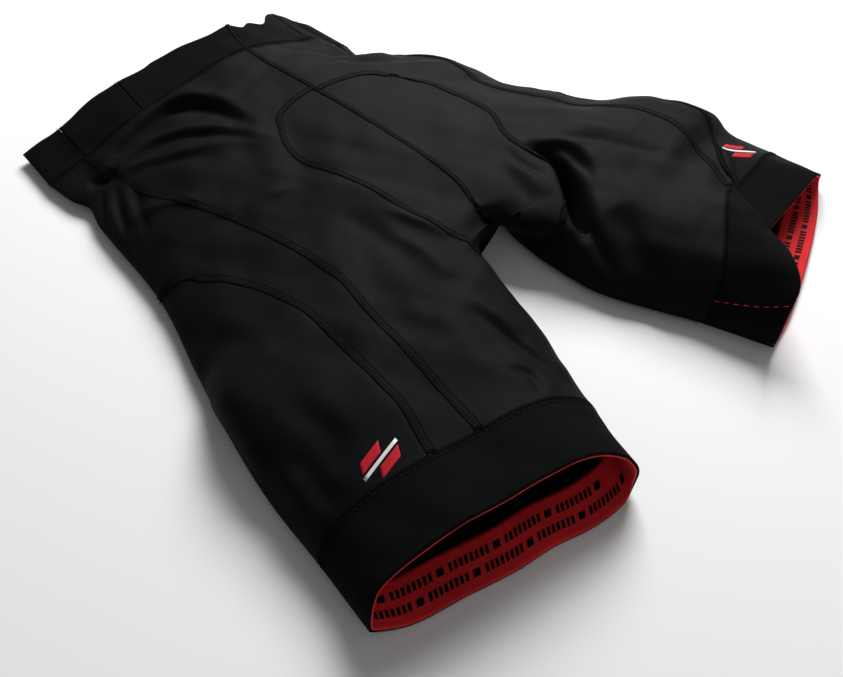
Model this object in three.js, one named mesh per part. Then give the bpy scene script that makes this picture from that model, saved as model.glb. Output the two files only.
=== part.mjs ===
// Padded cycling shorts, lying front side up on a flat surface.
// Millimetres, +Z up. +Y runs from the crotch to the waist, -X is the wearer's right side.
import * as THREE from 'three';

// ---- Driving dimensions -------------------------------------------------------------------

const RISE = 331;              // crotch to waist edge along the centre front
const WAISTBAND_HEIGHT = 38;
const HIP_LEVEL = 106;         // waist edge down to the hip line
const MID_LEVEL = 135;         // crotch up to the middle line of the body
const UPPER_LEVEL = 65;        // crotch up to the line where the legs begin to part
const CROTCH = { x: -4, y: -25 };
const CENTRE_X = -8;           // centre front line
const BACK_CENTRE_SHIFT = -30; // the back of the waist lies this far to the wearer's right
const INSEAM = 200;
const LEG_BAND_HEIGHT = 48;
const CROWN = 46;              // height of the front over the surface that it lies on
const FOLD_HEIGHT = 7;         // height of the side folds above the surface
const FLAT_SHARE = 0.7;        // share of the underside that lies flat

const FABRIC = 2;              // panel thickness
const BAND_FABRIC = 2.4;       // leg band and waistband thickness
const GRIPPER = 1.2;           // thickness of the lining strips inside the bands
const GRIPPER_HEIGHT = 29;     // the red strip runs up from the hem by this much
const SEAM_WIDTH = 7;
const SEAM_HEIGHT = 0.9;
const SEAM_LIFT = SEAM_WIDTH * 0.13;  // gap under a seam's flat strip, which spans curved fabric
const SEAM_REACH = 0.92;       // the seams round the body stop short of the side fold
const SEAM_STOP = 4.5;           // a seam stops this far from the edge of one that it meets
const GAP = 0.4;               // clearance between sewn pieces
const CLEARANCE = 0.5;         // clearance between stacked layers

const PAD_FRONT = 6;           // foam thickness under the front
const PAD_REAR = 8;            // foam thickness under the seat
const SIT_PAD = 5;             // extra foam under each sit bone
const SIT_SPACING = 80;        // between the middles of the sit pads
const PAD_SETBACK = 32;        // crotch to the front end of the rear pad
const REAR_PAD_LENGTH = RISE * 0.55;
const BADGE = { width: 30, height: 22, thickness: 0.8 };
const LABEL = { width: 30, height: 18, thickness: 0.8 };

// Each side as it lies: where its outline runs and how far the leg turns out.
const RIGHT = {
  name: 'right',
  sign: -1,
  waistWidth: 200,
  waistSlant: 8,
  hipWidth: 197,
  midWidth: 203,
  upperWidth: 222,
  thighWidth: 241,
  inseamAngle: 22,
  hemWidth: 181,
  hemTilt: 13.4,
  badge: [0.65, 6.65],          // its centre as [s, t] on the surface
  // seam lines: [station, share of the way from the centre or inseam to the side fold]
  gusset: [[2.16, 0.05], [2.33, 0.18], [2.5, 0.25], [2.7, 0.29], [3, 0.28], [3.5, 0.19], [4, 0.15],
    [5, 0.12], [6, 0.04]],
  front: [[1, 0.84], [2, 0.8], [2.5, 0.7], [3, 0.63], [4, 0.52], [5, 0.5], [6, 0.46], [7, 0.43]],
  arch: [[3, 0.96], [3.25, 0.85], [3.5, 0.77], [4, 0.68], [5, 0.63], [6, 0.59], [7, 0.59]],
};
const LEFT = {
  name: 'left',
  sign: 1,
  waistWidth: 96,
  waistSlant: -14,
  hipWidth: 128,
  midWidth: 160,
  upperWidth: 200,
  thighWidth: 242,
  inseamAngle: 24,
  hemWidth: 187,
  hemTilt: 22,
  gusset: [[2.16, 0.08], [2.33, 0.3], [2.5, 0.43], [2.7, 0.52], [3, 0.54], [3.5, 0.47], [4, 0.39],
    [5, 0.24], [6, 0.06]],
  front: [[1, 0.9], [2, 0.88], [3, 0.78], [4, 0.78], [5, 0.77], [6, 0.67], [7, 0.5]],
  badge: [0.74, 6.5],
  arch: [[3.5, 0.97], [3.75, 0.95], [4, 0.94], [5, 0.92], [5.6, 0.87], [6, 0.78], [6.35, 0.69], [7, 0.6]],
};

// Seam lines on the underside, as shares in the same way.
const BACK_SEAM = [[1, 0.72], [4, 0.62], [7, 0.5]];
const ARCH_WRAP = 0.5;         // how far the arch reaches under the fold, as a share of its front

// Stations run down the garment; each is a line across one side, as the pattern lies flat.
const WAIST = 0;
const WAIST_SEAM = 1;
const MID = 3;
const UPPER = 4;
const CROTCH_LINE = 5;
const LEG_SEAM = 7;
const HEM = 8;
const INNER_KINKS = [WAIST, WAIST_SEAM, CROTCH_LINE, LEG_SEAM, HEM];
const OUTER_KINKS = [WAIST, WAIST_SEAM, LEG_SEAM, HEM];

// Rows and columns of the grid that all panels share, so that neighbours meet along their seams.
const ROW_TOLERANCE = 0.01;
const WAISTBAND_SPLIT = 4;     // columns of the front panel that the waistband's front piece spans
const ELASTIC_INSET = 0.15;    // share of the waistband left free above and below the elastic
const GUSSET_TOP = 2.1;
const GUSSET_END = 6.1;
const ROWS_BETWEEN = [2, 3, 6, 4, 5, 3, 3, 2];
const COLUMNS = { gusset: 4, front: 6, sideFront: 4, arch: 3, archBack: 3, sideBack: 3, back: 6 };

// ---- Materials ----------------------------------------------------------------------------

function cloth(color, roughness) {
  return new THREE.MeshStandardMaterial({ color, roughness, metalness: 0 });
}

const stretchFabric = () => cloth(0x141416, 0.55);
const sideFabric = () => cloth(0x101218, 0.65);
const bandFabric = () => cloth(0x0d0d0e, 0.85);
const redGripper = () => cloth(0xb5262e, 0.6);
const stitching = () => cloth(0x08080a, 0.8);
const foam = () => cloth(0x3a3c42, 0.9);
const badgeRed = () => cloth(0xc42a30, 0.45);
const labelWhite = () => cloth(0xe6e4e0, 0.7);

// ---- The garment's surface ----------------------------------------------------------------

function point2(x, y) {
  return new THREE.Vector2(x, y);
}

function rotated(length, degrees) {
  const angle = THREE.MathUtils.degToRad(degrees);
  return point2(length * Math.cos(angle), length * Math.sin(angle));
}

// The inner and outer ends of every station of one side.
function stationsOf(side) {
  const { sign } = side;
  const waistY = CROTCH.y + RISE;
  const down = rotated(INSEAM, -90 + side.inseamAngle).multiply(point2(sign, 1));
  const hemInner = point2(CROTCH.x, CROTCH.y).add(down);
  const hemOuter = rotated(side.hemWidth, side.hemTilt).multiply(point2(sign, 1)).add(hemInner);
  const bandRise = LEG_BAND_HEIGHT / INSEAM;
  const bandInner = hemInner.clone().addScaledVector(down, -bandRise);
  const bandOuter = hemOuter.clone().add(point2(-sign * 2, LEG_BAND_HEIGHT));
  const legInner = point2(CROTCH.x, CROTCH.y).addScaledVector(down, (1 - bandRise) / 2);
  const crotchOuter = point2(CROTCH.x + sign * side.thighWidth, CROTCH.y + 5);
  const legOuter = crotchOuter.clone().lerp(bandOuter, 0.5).add(point2(sign * 2, 0));
  const body = (y, width, slant) => ({
    inner: point2(CENTRE_X, y),
    outer: point2(CENTRE_X + sign * width, y + slant),
  });
  return [
    body(waistY, side.waistWidth, side.waistSlant),
    body(waistY - WAISTBAND_HEIGHT, side.waistWidth + 1, side.waistSlant),
    body(waistY - HIP_LEVEL, side.hipWidth, 0),
    body(CROTCH.y + MID_LEVEL, side.midWidth, 0),
    body(CROTCH.y + UPPER_LEVEL, side.upperWidth, 0),
    { inner: point2(CROTCH.x, CROTCH.y), outer: crotchOuter },
    { inner: legInner, outer: legOuter },
    { inner: bandInner, outer: bandOuter },
    { inner: hemInner, outer: hemOuter },
  ];
}

// A smooth line through the points of the stations, which may turn sharply at the kinks.
function alongStations(points, kinks, t) {
  const last = points.length - 1;
  const index = Math.min(Math.floor(t), last - 1);
  const share = t - index;
  const a = points[index];
  const b = points[index + 1];
  const straight = b.clone().sub(a);
  const slope = (i) => (kinks.includes(i) ? straight
    : points[i + 1].clone().sub(points[i - 1]).multiplyScalar(0.5));
  const slopeA = slope(index);
  const slopeB = slope(index + 1);
  const s2 = share * share;
  const s3 = s2 * share;
  return a.clone().multiplyScalar(2 * s3 - 3 * s2 + 1)
    .addScaledVector(slopeA, s3 - 2 * s2 + share)
    .addScaledVector(b, 3 * s2 - 2 * s3)
    .addScaledVector(slopeB, s3 - s2);
}

function topHeight(angle) {
  return FOLD_HEIGHT + (CROWN - FOLD_HEIGHT) * Math.max(Math.cos(angle), 0);
}

function underHeight(across) {
  const beyond = Math.max((Math.abs(across) - FLAT_SHARE) / (1 - FLAT_SHARE), 0);
  return FOLD_HEIGHT * (1 - Math.sqrt(Math.max(1 - beyond * beyond, 0)));
}

// One side as a surface: s runs 0..1 over the front from the centre (or inseam) to the side
// fold and 1..2 back under it, t runs down the stations.
class Side {
  constructor(dimensions) {
    Object.assign(this, dimensions);
    const stations = stationsOf(dimensions);
    this.inners = stations.map((station) => station.inner);
    this.outers = stations.map((station) => station.outer);
  }

  // How far the section wraps round towards the inseam: 0 on the body, 1 on the leg.
  wrap(t) {
    if (t <= UPPER) return 0;
    return Math.min(t - UPPER, 1);
  }

  point(s, t) {
    const wrap = this.wrap(t);
    const start = -Math.asin(wrap);
    const turn = Math.PI / 2 - start;
    const onTop = s <= 1;
    const angle = onTop ? start + turn * s : Math.PI / 2 - turn * (s - 1);
    const across = Math.sin(angle);
    const share = (across + wrap) / (1 + wrap);
    const inner = alongStations(this.inners, INNER_KINKS, t);
    if (!onTop && t < CROTCH_LINE) inner.x += BACK_CENTRE_SHIFT * (1 - t / CROTCH_LINE);
    const plan = inner.lerp(alongStations(this.outers, OUTER_KINKS, t), share);
    return new THREE.Vector3(plan.x, plan.y, onTop ? topHeight(angle) : underHeight(across));
  }

  // The s of a place that lies a given share of the way across the flat width.
  atShare(share, t) {
    const wrap = this.wrap(t);
    const start = -Math.asin(wrap);
    const angle = Math.asin(THREE.MathUtils.clamp(share * (1 + wrap) - wrap, -1, 1));
    return (angle - start) / (Math.PI / 2 - start);
  }

  seam(line, t) {
    const last = line.length - 1;
    if (t <= line[0][0]) return this.atShare(line[0][1], t);
    if (t >= line[last][0]) return this.atShare(line[last][1], t);
    const next = line.findIndex(([station]) => station > t);
    const [t0, share0] = line[next - 1];
    const [t1, share1] = line[next];
    return this.atShare(THREE.MathUtils.mapLinear(t, t0, t1, share0, share1), t);
  }

  normal(s, t) {
    const step = 0.004;
    const ds = this.point(Math.min(s + step, 2), t).sub(this.point(Math.max(s - step, 0), t));
    const dt = this.point(s, Math.min(t + step, HEM)).sub(this.point(s, Math.max(t - step, WAIST)));
    return dt.cross(ds).multiplyScalar(this.sign).normalize();
  }

  // Where the seams cross one row, from the centre front round to the centre back.
  crossings(t) {
    const gusset = t > GUSSET_TOP && t < GUSSET_END ? this.seam(this.gusset, t) : 0;
    const front = this.seam(this.front, t);
    const hasArch = t > this.arch[0][0] - ROW_TOLERANCE;
    const arch = hasArch ? this.seam(this.arch, t) : 1;
    const archShare = 1 - arch;
    const archBack = 1 + archShare * ARCH_WRAP;
    const back = 2 - this.seam(BACK_SEAM, t);
    return { centre: 0, gusset, front, arch, archBack, back, centreBack: 2 };
  }
}

// ---- Rows and columns shared by all panels, so that neighbours meet along their seams ------

function allRows() {
  const rows = [WAIST];
  ROWS_BETWEEN.forEach((count, station) => {
    for (let k = 1; k <= count; k += 1) {
      const share = k / count;
      rows.push(station + (station === UPPER ? Math.sin(share * Math.PI / 2) : share));
    }
  });
  return rows;
}

const ROWS = allRows();

function rowsFrom(start, end) {
  return ROWS.filter((t) => t > start - ROW_TOLERANCE && t < end + ROW_TOLERANCE);
}

function spread(from, to, count) {
  return Array.from({ length: count + 1 }, (_, k) => THREE.MathUtils.lerp(from, to, k / count));
}

function joined(...lists) {
  return lists.reduce((all, list) => all.concat(list.slice(1)));
}

// ---- Solids -------------------------------------------------------------------------------

// Six times the volume inside a closed set of triangles, below zero if they face inwards.
function signedVolume(vertices, index) {
  let total = 0;
  for (let k = 0; k < index.length; k += 3) {
    const [a, b, c] = index.slice(k, k + 3).map((i) => vertices[i]);
    total += a.dot(b.clone().cross(c));
  }
  return total;
}

// A closed solid between two grids of points that face each other.
function solidBetween(name, material, outer, inner) {
  const rows = outer.length;
  const columns = outer[0].length;
  const vertices = [...outer.flat(), ...inner.flat()];
  const index = [];
  const at = (layer, j, i) => layer * rows * columns + j * columns + i;
  const quad = (a, b, c, d) => index.push(a, b, c, a, c, d);
  for (let j = 0; j < rows - 1; j += 1) {
    for (let i = 0; i < columns - 1; i += 1) {
      quad(at(0, j, i), at(0, j + 1, i), at(0, j + 1, i + 1), at(0, j, i + 1));
      quad(at(1, j, i), at(1, j, i + 1), at(1, j + 1, i + 1), at(1, j + 1, i));
    }
    quad(at(0, j, 0), at(1, j, 0), at(1, j + 1, 0), at(0, j + 1, 0));
    const end = columns - 1;
    quad(at(0, j, end), at(0, j + 1, end), at(1, j + 1, end), at(1, j, end));
  }
  for (let i = 0; i < columns - 1; i += 1) {
    const end = rows - 1;
    quad(at(0, 0, i), at(0, 0, i + 1), at(1, 0, i + 1), at(1, 0, i));
    quad(at(0, end, i), at(1, end, i), at(1, end, i + 1), at(0, end, i + 1));
  }
  if (signedVolume(vertices, index) < 0) index.reverse();
  const geometry = new THREE.BufferGeometry();
  const coordinates = vertices.flatMap((vertex) => vertex.toArray());
  geometry.setAttribute('position', new THREE.Float32BufferAttribute(coordinates, 3));
  geometry.setIndex(index);
  geometry.computeVertexNormals();
  const mesh = new THREE.Mesh(geometry, material);
  mesh.name = name;
  return mesh;
}

// Draws the edges of a grid of points in by the gap of a sewn joint.
function insetEdges(points) {
  const rows = points.length;
  const columns = points[0].length;
  const towards = (from, to) => to.clone().sub(from).normalize().multiplyScalar(GAP);
  return points.map((row, j) => row.map((point, i) => {
    const moved = point.clone();
    if (i === 0) moved.add(towards(point, row[1]));
    if (i === columns - 1) moved.add(towards(point, row[i - 1]));
    if (j === 0) moved.add(towards(point, points[1][i]));
    if (j === rows - 1) moved.add(towards(point, points[j - 1][i]));
    return moved;
  }));
}

// A panel of fabric: columns(t) gives its places across each row.
function panel(side, name, material, { rows, columns, depth = 0, thickness = FABRIC }) {
  const places = rows.map((t) => columns(t).map((s) => ({ s, t })));
  const surface = insetEdges(places.map((row) => row.map(({ s, t }) => side.point(s, t))));
  const lowered = (distance) => surface.map((row, j) => row.map((point, i) => {
    const { s, t } = places[j][i];
    return point.clone().addScaledVector(side.normal(s, t), -distance);
  }));
  const outer = lowered(depth);
  const inner = lowered(depth + thickness);
  return solidBetween(`${name}_${side.name}`, material, outer, inner);
}

// A flat strip of stitching along a line of places on the surface.
function strip(side, name, places, { lift = SEAM_LIFT, trimStart = true, trimEnd = true } = {}) {
  const points = places.map(([s, t]) => side.point(s, t));
  const normals = places.map(([s, t]) => side.normal(s, t));
  const last = points.length - 1;
  const trim = SEAM_WIDTH / 2 + SEAM_STOP;
  const pull = (end, next) => points[end].add(points[next].clone().sub(points[end]).setLength(trim));
  if (trimStart) pull(0, 1);
  if (trimEnd) pull(last, last - 1);
  const layer = (distance) => points.map((point, k) => {
    const along = points[Math.min(k + 1, last)].clone().sub(points[Math.max(k - 1, 0)]);
    const across = along.cross(normals[k]).setLength(SEAM_WIDTH / 2);
    const centre = point.clone().addScaledVector(normals[k], distance);
    return [centre.clone().sub(across), centre.clone().add(across)];
  });
  return solidBetween(name, stitching(), layer(lift + Math.sign(lift) * SEAM_HEIGHT), layer(lift));
}

// ---- Panels of one side -------------------------------------------------------------------

function bodyPanels(side) {
  const between = (from, to, count) => (t) => {
    const at = side.crossings(t);
    return spread(at[from], at[to], count);
  };
  const bodyRows = rowsFrom(WAIST_SEAM, LEG_SEAM);
  const archRows = rowsFrom(side.arch[0][0], LEG_SEAM);
  return [
    panel(side, 'gusset_panel', stretchFabric(), {
      rows: rowsFrom(GUSSET_TOP, GUSSET_END),
      columns: between('centre', 'gusset', COLUMNS.gusset),
    }),
    panel(side, 'front_panel', stretchFabric(), {
      rows: bodyRows,
      columns: between('gusset', 'front', COLUMNS.front),
    }),
    panel(side, 'side_panel_front', sideFabric(), {
      rows: bodyRows,
      columns: between('front', 'arch', COLUMNS.sideFront),
    }),
    panel(side, 'outer_thigh_panel', sideFabric(), {
      rows: archRows,
      columns: between('arch', 'archBack', COLUMNS.arch),
    }),
    panel(side, 'side_panel_back', sideFabric(), {
      rows: bodyRows,
      columns: between('archBack', 'back', COLUMNS.sideBack),
    }),
    panel(side, 'back_panel', stretchFabric(), {
      rows: bodyRows,
      columns: between('back', 'centreBack', COLUMNS.back),
    }),
  ];
}

// The places across a band are those of the panels that it is sewn to.
function bandColumns(side, seamRow) {
  const at = side.crossings(seamRow);
  const archColumns = at.arch < 1 ? spread(at.arch, at.archBack, COLUMNS.arch) : [at.arch];
  return joined(
    spread(at.gusset, at.front, COLUMNS.front),
    spread(at.front, at.arch, COLUMNS.sideFront),
    archColumns,
    spread(at.archBack, at.back, COLUMNS.sideBack),
    spread(at.back, at.centreBack, COLUMNS.back),
  );
}

function waistband(side) {
  const all = bandColumns(side, WAIST_SEAM);
  const pieces = {
    waistband_front: [0, WAISTBAND_SPLIT],
    waistband_hip: [WAISTBAND_SPLIT, COLUMNS.front],
    waistband_back: [COLUMNS.front, all.length - 1],
  };
  return Object.entries(pieces).map(([name, [from, to]]) => panel(side, name, bandFabric(), {
    rows: rowsFrom(WAIST, WAIST_SEAM),
    columns: () => all.slice(from, to + 1),
    thickness: BAND_FABRIC,
  }));
}

function waistElastic(side) {
  return panel(side, 'waist_elastic', bandFabric(), {
    rows: [WAIST + ELASTIC_INSET, WAIST_SEAM - ELASTIC_INSET],
    columns: () => bandColumns(side, WAIST_SEAM),
    depth: BAND_FABRIC + CLEARANCE,
    thickness: GRIPPER,
  });
}

function legBand(side) {
  const columns = () => bandColumns(side, LEG_SEAM);
  return [
    panel(side, 'leg_band', bandFabric(), {
      rows: rowsFrom(LEG_SEAM, HEM),
      columns,
      thickness: BAND_FABRIC,
    }),
    panel(side, 'leg_gripper', redGripper(), {
      rows: spread(HEM - GRIPPER_HEIGHT / LEG_BAND_HEIGHT, HEM, 3),
      columns,
      depth: BAND_FABRIC + CLEARANCE,
      thickness: GRIPPER,
    }),
  ];
}

function badge(side) {
  const [s, t] = side.badge;
  const probe = 0.05; // a short step on the surface, to find how far s and t reach in millimetres
  const centre = side.point(s, t);
  const halfAcross = (BADGE.width / 2) * probe / centre.distanceTo(side.point(s + probe, t));
  const halfAlong = (BADGE.height / 2) * probe / centre.distanceTo(side.point(s, t + probe));
  return panel(side, 'badge', badgeRed(), {
    rows: spread(t - halfAlong, t + halfAlong, 2),
    columns: () => spread(s - halfAcross, s + halfAcross, 3),
    depth: -CLEARANCE - BADGE.thickness,
    thickness: BADGE.thickness,
  });
}

// ---- Seams --------------------------------------------------------------------------------

function seamsOf(side) {
  const line = (crossing, rows) => rows.map((t) => [side.crossings(t)[crossing], t]);
  const named = (name) => `${name}_${side.name}`;
  const bodyRows = rowsFrom(WAIST_SEAM, LEG_SEAM);
  const across = (t) => bandColumns(side, t).filter((s) => s < SEAM_REACH).map((s) => [s, t]);
  return [
    strip(side, named('seam_front'), line('front', bodyRows)),
    strip(side, named('seam_arch'), line('arch', rowsFrom(side.arch[0][0], LEG_SEAM))),
    strip(side, named('seam_gusset'), line('gusset', rowsFrom(GUSSET_TOP, GUSSET_END)), {
      trimStart: false,
    }),
    strip(side, named('seam_waistband'), across(WAIST_SEAM)),
    strip(side, named('seam_leg_band'), across(LEG_SEAM)),
    strip(side, named('inseam'), rowsFrom(GUSSET_END, LEG_SEAM).map((t) => [0, t])),
    strip(side, named('seam_back'), line('back', bodyRows), { lift: -FABRIC - CLEARANCE }),
  ];
}

function centreSeam(side, name, s, rows, lift) {
  return strip(side, name, rows.map((t) => [s, t]), { lift });
}

// ---- Seat pad -----------------------------------------------------------------------------

function frontPad(side) {
  return panel(side, 'chamois_front', foam(), {
    rows: rowsFrom(GUSSET_TOP, CROTCH_LINE - ROW_TOLERANCE * 2),
    columns: (t) => spread(0, side.crossings(t).gusset, COLUMNS.gusset),
    depth: FABRIC + CLEARANCE,
    thickness: PAD_FRONT,
  });
}

const SLAB_POINTS = 28;        // points round the outline of a pad
const SLAB_BEVEL = 0.3;        // share of a pad's thickness taken by the bevel at each face
const PAD_CENTRE = { x: CENTRE_X - 6, y: CROTCH.y + PAD_SETBACK };
const SIT_LEVEL = 0.7;         // share of the rear pad's length up to the middle of the sit pads
const REAR_PAD_OUTLINE = [[30, 0], [44, 0.27], [78, 0.6], [84, 0.82], [60, 1]];
const SIT_PAD_OUTLINE = [[14, -0.21], [24, 0], [16, 0.2]];

// A flat piece on the inside of the back layer. Its outline in plan is half of a mirrored shape:
// [half width in millimetres, share of the rear pad's length].
function slab(name, material, halfOutline, height, lift, centre) {
  const mirrored = halfOutline.slice().reverse().map(([x, share]) => [-x, share]);
  const points = [...halfOutline, ...mirrored].map(([x, share]) => point2(x, share * REAR_PAD_LENGTH));
  const curve = new THREE.SplineCurve([...points, points[0]]);
  const shape = new THREE.Shape(curve.getPoints(SLAB_POINTS).slice(0, -1));
  const bevel = height * SLAB_BEVEL;
  const geometry = new THREE.ExtrudeGeometry(shape, {
    depth: height - 2 * bevel,
    bevelThickness: bevel,
    bevelSize: bevel,
    bevelOffset: -bevel,
    bevelSegments: 1,
    curveSegments: 1,
  });
  const mesh = new THREE.Mesh(geometry, material);
  mesh.name = name;
  mesh.position.set(centre.x, centre.y, lift + bevel);
  return mesh;
}

function rearPad() {
  const lift = BAND_FABRIC + CLEARANCE;
  return slab('chamois_rear', foam(), REAR_PAD_OUTLINE, PAD_REAR, lift, PAD_CENTRE);
}

function sitPad(side) {
  const centre = point2(
    PAD_CENTRE.x + side.sign * SIT_SPACING / 2,
    PAD_CENTRE.y + SIT_LEVEL * REAR_PAD_LENGTH,
  );
  const lift = BAND_FABRIC + CLEARANCE + PAD_REAR + CLEARANCE;
  return slab(`sit_pad_${side.name}`, foam(), SIT_PAD_OUTLINE, SIT_PAD, lift, centre);
}

function careLabel() {
  const geometry = new THREE.BoxGeometry(LABEL.width, LABEL.height, LABEL.thickness);
  const mesh = new THREE.Mesh(geometry, labelWhite());
  mesh.name = 'care_label';
  const y = CROTCH.y + RISE - WAISTBAND_HEIGHT - LABEL.height;
  const z = BAND_FABRIC + CLEARANCE + LABEL.thickness / 2;
  mesh.position.set(CENTRE_X + BACK_CENTRE_SHIFT * 2, y, z);
  return mesh;
}

// ---- The garment --------------------------------------------------------------------------

const garment = new THREE.Group();
const right = new Side(RIGHT);
const left = new Side(LEFT);
for (const side of [right, left]) {
  garment.add(...bodyPanels(side), ...waistband(side), waistElastic(side), ...legBand(side));
  garment.add(...seamsOf(side), badge(side), frontPad(side), sitPad(side));
}
const inside = -FABRIC - CLEARANCE;
garment.add(
  centreSeam(right, 'seam_centre_front', 0, rowsFrom(WAIST, GUSSET_TOP), SEAM_LIFT),
  centreSeam(right, 'seam_centre_back', 2, rowsFrom(WAIST_SEAM, MID - 1), inside),
  rearPad(),
  careLabel(),
);

// The origin is the middle of the underside of the whole garment.
const box = new THREE.Box3().setFromObject(garment);
const middle = box.getCenter(new THREE.Vector3());
garment.position.set(-middle.x, -middle.y, -box.min.z);

const group = new THREE.Group();
group.add(garment);
export default group;
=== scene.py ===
"""Padded cycling shorts lying front side up: cloth panels, seams, elastic bands and a seat pad."""
import math

import bpy
import numpy as np
from mathutils import Matrix, Vector, noise
from mathutils.bvhtree import BVHTree


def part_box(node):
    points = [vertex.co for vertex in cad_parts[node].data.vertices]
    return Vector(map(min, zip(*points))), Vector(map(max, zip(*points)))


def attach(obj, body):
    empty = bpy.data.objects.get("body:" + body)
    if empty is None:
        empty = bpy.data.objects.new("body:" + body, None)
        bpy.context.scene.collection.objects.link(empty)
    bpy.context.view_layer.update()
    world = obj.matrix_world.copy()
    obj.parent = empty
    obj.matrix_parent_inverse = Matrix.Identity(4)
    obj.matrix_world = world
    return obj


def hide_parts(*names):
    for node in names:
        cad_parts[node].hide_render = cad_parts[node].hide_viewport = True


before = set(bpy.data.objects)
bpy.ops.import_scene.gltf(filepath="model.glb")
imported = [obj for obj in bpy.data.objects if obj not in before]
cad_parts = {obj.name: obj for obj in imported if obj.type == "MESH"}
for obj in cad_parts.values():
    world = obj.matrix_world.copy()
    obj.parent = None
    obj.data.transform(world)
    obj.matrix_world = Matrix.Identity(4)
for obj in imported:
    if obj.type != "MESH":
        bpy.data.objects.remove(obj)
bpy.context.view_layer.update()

# ---- Sizes, in millimetres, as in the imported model
MM = 0.001
ORIGIN = (-2.13, 51.78)  # the frame's origin, measured from the crotch line's own zero
# Stations count down the garment: 0 is the waist edge, and these are the others that have names.
WAIST_SEAM, UPPER, CROTCH, LEG_SEAM, HEM = 1, 4, 5, 7, 8
GUSSET_END = 5.45
GRIPPER_TOP = 7.4
INNER_KINKS = (0, 1, 5, 7, 8)  # stations where the inner edge may turn sharply
OUTER_KINKS = (0, 1, 7, 8)
UNDERCUT_KINKS = (4.3, 5, 6)
WRAP_START = 4.2    # from here to the crotch a section closes from half a tube to a whole one
CROTCH_BLEND = 7    # a higher power keeps the crotch's own shape nearer to the centre line
LEAN_BLEND = 3      # the same for the lean of the crotch wall
HEM_CURVE = (5.8, 7.6)  # stations over which the hem's curve takes hold
WAIST_CURVE = 1.1   # the station where the waist edge's waves have died out
WAIST_UNDER = 0.4   # how much of the waist edge's waves the underside has
TENT = (0.8, 2.6, 1.6)  # stations where the body stops being a slope and starts being round; its power
FOLD_HEIGHT = 7.0   # height of the side folds above the table
FLAT_SHARE = 0.7    # the part of the underside that lies flat
BACK_CENTRE_SHIFT = -30.0  # how far the back's centre line lies to the side at the waist
DEEP = 9.0          # a fold deeper than this goes straight down, and doesn't follow the slope
FABRIC, BAND, GRIPPER = 1.1, 1.5, 0.9  # thicknesses
LINING_GAP = 0.3    # between a band and its lining
EDGE_GAP = 0.12     # how far each piece of cloth stops short of its seams
SEAM_WIDTH = 6.0

# Each side as it lies. Lines are [station, x, y] or [station, share of the way across]. boxy is the
# power of a section's roundness, skew leans its crest towards the inseam, undercut is how far the
# foot of the crotch wall leans back, and lip how far its top hangs over.
BODY_CENTRE = [[0, -8, 306], [1, -15, 268], [2, -9, 200], [3, -1, 110], [4, 3, 40], [5, -9, -11]]
RIGHT = {
    "sign": -1,
    "inner": BODY_CENTRE + [[5.25, -25, -20], [5.6, -31, -50], [6, -37, -90], [7, -62, -162],
                            [8, -79, -208]],
    "outer": [[0, -208, 316], [1, -210, 268], [1.35, -206, 240], [1.65, -200, 224], [2, -205, 200],
              [3, -211, 110], [4, -228, 38], [5, -241, -20], [6, -249, -70], [7, -252, -120],
              [8, -256, -167]],
    "height": [[0, 46], [1, 46], [3, 46], [5, 44], [6, 45], [7, 47], [8, 50]],
    "boxy": [[0, 2], [4, 2], [4.8, 4], [5.4, 4], [6, 2.5], [7, 2.5], [8, 3.2]],
    "skew": 0.0,
    "apex": 2.16,
    "shoulder": [2.38, 0.245],
    "gusset": [[2.38, 0.245], [2.55, 0.295], [2.8, 0.315], [3.1, 0.285], [3.5, 0.25], [4, 0.22],
               [4.5, 0.167], [5, 0.105], [5.45, 0.03], [8, 0.03]],
    "front": [[0, 0.83], [1, 0.826], [1.95, 0.815], [2.46, 0.735], [2.9, 0.655], [3.5, 0.586],
              [4.25, 0.53], [5, 0.5], [5.6, 0.47], [6.3, 0.45], [7, 0.435], [8, 0.435]],
    "arch_top": 3.02,
    "arch_shoulder": 3.2,
    "arch": [[0, 0.88], [2.9, 0.88], [3.2, 0.87], [3.5, 0.79], [3.9, 0.72], [4.4, 0.67], [5, 0.63],
             [5.6, 0.6], [6.2, 0.58], [7, 0.6], [8, 0.6]],
    "hem_top": [[0, 0], [0.05, 7], [0.2, 14], [0.5, 13], [0.8, 11], [0.95, 7], [1, 0]],
    "hem_under": [[0, 0], [0.06, 6], [0.2, 9], [0.35, 7.5], [0.5, 9], [0.68, 7.5], [0.86, 6.5],
                  [1, 0]],
    "waist_pull": [[0, 0], [0.1, -2], [0.25, 3], [0.36, 4.5], [0.42, 2], [0.55, 4], [0.68, 5.5],
                   [0.8, 2], [1, 0]],
    "undercut": [[0, 0, 0], [4.3, 0, 0], [5, 34, 14], [5.25, 12, 12], [5.6, 0, 4], [6, 0, 0],
                 [8, 0, 0]],
    "lip": [[0, 0, 0], [8, 0, 0]],
    "badge": (-196, -109),
}
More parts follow.
